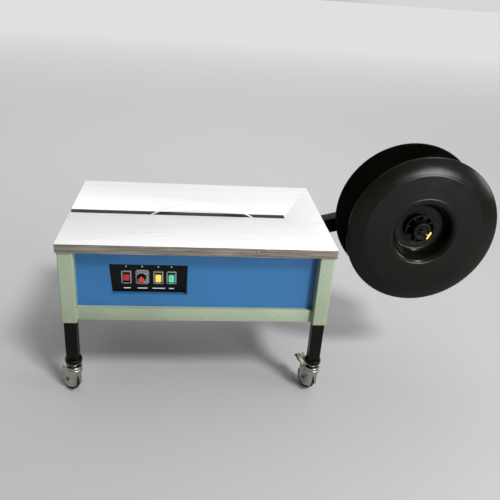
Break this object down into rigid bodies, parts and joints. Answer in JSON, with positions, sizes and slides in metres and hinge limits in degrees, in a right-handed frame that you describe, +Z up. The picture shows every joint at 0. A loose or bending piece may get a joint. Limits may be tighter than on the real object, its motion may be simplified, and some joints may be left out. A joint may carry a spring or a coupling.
{
  "type": "semi automatic strapping machine",
  "caption": "Low worktable strapping machine on castered legs, with a slotted steel top, a switch panel, a drive and sealing head inside, and a strap reel on a side arm.",
  "frame": {"origin": "centre of the bounding box, on the floor", "axes": "+Z up, the front with the switches faces -Y, the strap reel is on the +X side"},
  "size_m": [1.5114, 0.642, 0.848],
  "materials": {
    "stainless": "brushed sheet, edges and skirt darker",
    "frame_green": "satin grey green enamel",
    "panel_blue": "satin blue enamel",
    "black_steel": "black enamel",
    "zinc": "bright zinc plate",
    "steel": "machined steel",
    "wheel_rubber": "black rubber tread",
    "black_plastic": "moulded black plastic",
    "reel_black": "glossy black moulded plastic",
    "board": "plywood board, hidden",
    "bezel_grey": "satin grey",
    "red": "gloss",
    "yellow": "gloss",
    "green": "gloss",
    "strap_white": "embossed plastic strap",
    "belt_rubber": "drive belt",
    "motor_grey": "painted casting"
  },
  "bodies": {
    "frame": {"post_front_left": "frame_green", "leg_front_left": "black_steel", "post_front_right": "frame_green", "leg_front_right": "black_steel", "post_rear_left": "frame_green", "leg_rear_left": "black_steel", "post_rear_right": "frame_green", "leg_rear_right": "black_steel", "lower_rails": "frame_green", "bottom_tray": "black_steel", "slot_track": "black_steel", "table_top": "stainless", "table_board": "board", "rear_panel": "panel_blue", "power_inlet": "black_plastic", "left_panel": "panel_blue", "front_panel": "panel_blue", "control_plate": "black_plastic", "switch_bezels": "bezel_grey", "dial_plate": "bezel_grey", "caster_stems": "zinc", "reel_spindle": "black_steel", "retaining_pin": "steel", "pin_grip": "yellow", "reel_arm": "black_steel", "right_panel": "panel_blue", "upper_rails": "frame_green", "fasteners": "steel", "strap_loop": "strap_white", "head_frame": "motor_grey", "gear_reducer": "motor_grey", "drive_motor": "motor_grey", "drive_belt": "belt_rubber", "strap_pool": "black_steel", "electrics_box": "motor_grey"},
    "fork_front_left": {"fork_front_left": "zinc"},
    "wheel_front_left": {"wheel_front_left": "wheel_rubber"},
    "fork_front_right": {"fork_front_right": "zinc"},
    "wheel_front_right": {"wheel_front_right": "wheel_rubber"},
    "fork_rear_left": {"fork_rear_left": "zinc"},
    "wheel_rear_left": {"wheel_rear_left": "wheel_rubber"},
    "fork_rear_right": {"fork_rear_right": "zinc"},
    "wheel_rear_right": {"wheel_rear_right": "wheel_rubber"},
    "brake_pedal_front_right": {"brake_pedal_front_right": "zinc"},
    "brake_pedal_rear_left": {"brake_pedal_rear_left": "zinc"},
    "reel": {"front_flange": "reel_black", "rear_flange": "reel_black", "reel_core": "reel_black", "hub_wheel": "black_plastic"},
    "power_rocker": {"power_rocker": "red"},
    "length_knob": {"length_knob": "black_plastic", "knob_cap": "red"},
    "reset_button": {"reset_button": "yellow"},
    "feed_button": {"feed_button": "green"},
    "cam_shaft": {"cam_shaft": "steel"},
    "reducer_pulley": {"reducer_pulley": "steel"},
    "motor_pulley": {"motor_pulley": "steel"},
    "feed_roller": {"feed_roller": "steel"},
    "gripper_blocks": {"gripper_blocks": "steel"},
    "slide_plate": {"slide_plate": "steel"}
  },
  "joints": [
    {"name": "caster_swivel_front_left", "type": "hinge", "parent": "frame", "child": "fork_front_left", "pos_m": [-0.68629, -0.29042, 0.0857], "axis": [0, 0, 1], "continuous": true},
    {"name": "wheel_spin_front_left", "type": "hinge", "parent": "fork_front_left", "child": "wheel_front_left", "pos_m": [-0.70369, -0.2711, 0.04], "axis": [-0.7431, -0.6691, 0], "continuous": true},
    {"name": "caster_swivel_front_right", "type": "hinge", "parent": "frame", "child": "fork_front_right", "pos_m": [0.13571, -0.29042, 0.0857], "axis": [0, 0, 1], "continuous": true},
    {"name": "wheel_spin_front_right", "type": "hinge", "parent": "fork_front_right", "child": "wheel_front_right", "pos_m": [0.12555, -0.26649, 0.04], "axis": [-0.9205, -0.3907, 0], "continuous": true},
    {"name": "brake_press_front_right", "type": "hinge", "parent": "fork_front_right", "child": "brake_pedal_front_right", "pos_m": [0.12047, -0.25452, 0.0837], "axis": [-0.9205, -0.3907, 0], "range_deg": [0, 14]},
    {"name": "caster_swivel_rear_left", "type": "hinge", "parent": "frame", "child": "fork_rear_left", "pos_m": [-0.68629, 0.24158, 0.0857], "axis": [0, 0, 1], "continuous": true},
    {"name": "wheel_spin_rear_left", "type": "hinge", "parent": "fork_rear_left", "child": "wheel_rear_left", "pos_m": [-0.70265, 0.26178, 0.04], "axis": [-0.7771, -0.6293, 0], "continuous": true},
    {"name": "brake_press_rear_left", "type": "hinge", "parent": "fork_rear_left", "child": "brake_pedal_rear_left", "pos_m": [-0.71084, 0.27189, 0.0837], "axis": [-0.7771, -0.6293, 0], "range_deg": [0, 14]},
    {"name": "caster_swivel_rear_right", "type": "hinge", "parent": "frame", "child": "fork_rear_right", "pos_m": [0.13571, 0.24158, 0.0857], "axis": [0, 0, 1], "continuous": true},
    {"name": "wheel_spin_rear_right", "type": "hinge", "parent": "fork_rear_right", "child": "wheel_rear_right", "pos_m": [0.12271, 0.2641, 0.04], "axis": [-0.866, -0.5, 0], "continuous": true},
    {"name": "reel_spin", "type": "hinge", "parent": "frame", "child": "reel", "pos_m": [0.49071, -0.02442, 0.583], "axis": [0, 1, 0], "continuous": true},
    {"name": "power_rocker_tilt", "type": "hinge", "parent": "frame", "child": "power_rocker", "pos_m": [-0.50579, -0.2749, 0.44113], "axis": [1, 0, 0], "range_deg": [0, 16]},
    {"name": "length_knob_turn", "type": "hinge", "parent": "frame", "child": "length_knob", "pos_m": [-0.45779, -0.27228, 0.4405], "axis": [0, -0.9891, -0.1472], "range_deg": [-120, 150]},
    {"name": "reset_button_press", "type": "slide", "parent": "frame", "child": "reset_button", "axis": [0, 0.9891, 0.1472], "range_m": [0, 0.003], "stiffness_N_per_m": 400, "springref_m": -0.0015},
    {"name": "feed_button_press", "type": "slide", "parent": "frame", "child": "feed_button", "axis": [0, 0.9891, 0.1472], "range_m": [0, 0.003], "stiffness_N_per_m": 400, "springref_m": -0.0015},
    {"name": "cam_shaft_turn", "type": "hinge", "parent": "frame", "child": "cam_shaft", "pos_m": [-0.14529, -0.04742, 0.383], "axis": [0, 1, 0], "continuous": true},
    {"name": "reducer_pulley_turn", "type": "hinge", "parent": "frame", "child": "reducer_pulley", "pos_m": [-0.14529, 0.07558, 0.383], "axis": [0, 1, 0], "continuous": true},
    {"name": "motor_pulley_turn", "type": "hinge", "parent": "frame", "child": "motor_pulley", "pos_m": [-0.38529, 0.07558, 0.358], "axis": [0, 1, 0], "continuous": true},
    {"name": "feed_roller_turn", "type": "hinge", "parent": "frame", "child": "feed_roller", "pos_m": [-0.06029, -0.04742, 0.5085], "axis": [0, 1, 0], "continuous": true},
    {"name": "gripper_lift", "type": "slide", "parent": "frame", "child": "gripper_blocks", "axis": [0, 0, 1], "range_m": [0, 0.003]},
    {"name": "slide_plate_draw", "type": "slide", "parent": "frame", "child": "slide_plate", "axis": [-1, 0, 0], "range_m": [0, 0.018]}
  ],
  "couplings": [
    {"joint": "motor_pulley_turn", "follows": "reducer_pulley_turn", "ratio": 2.0455}
  ]
}
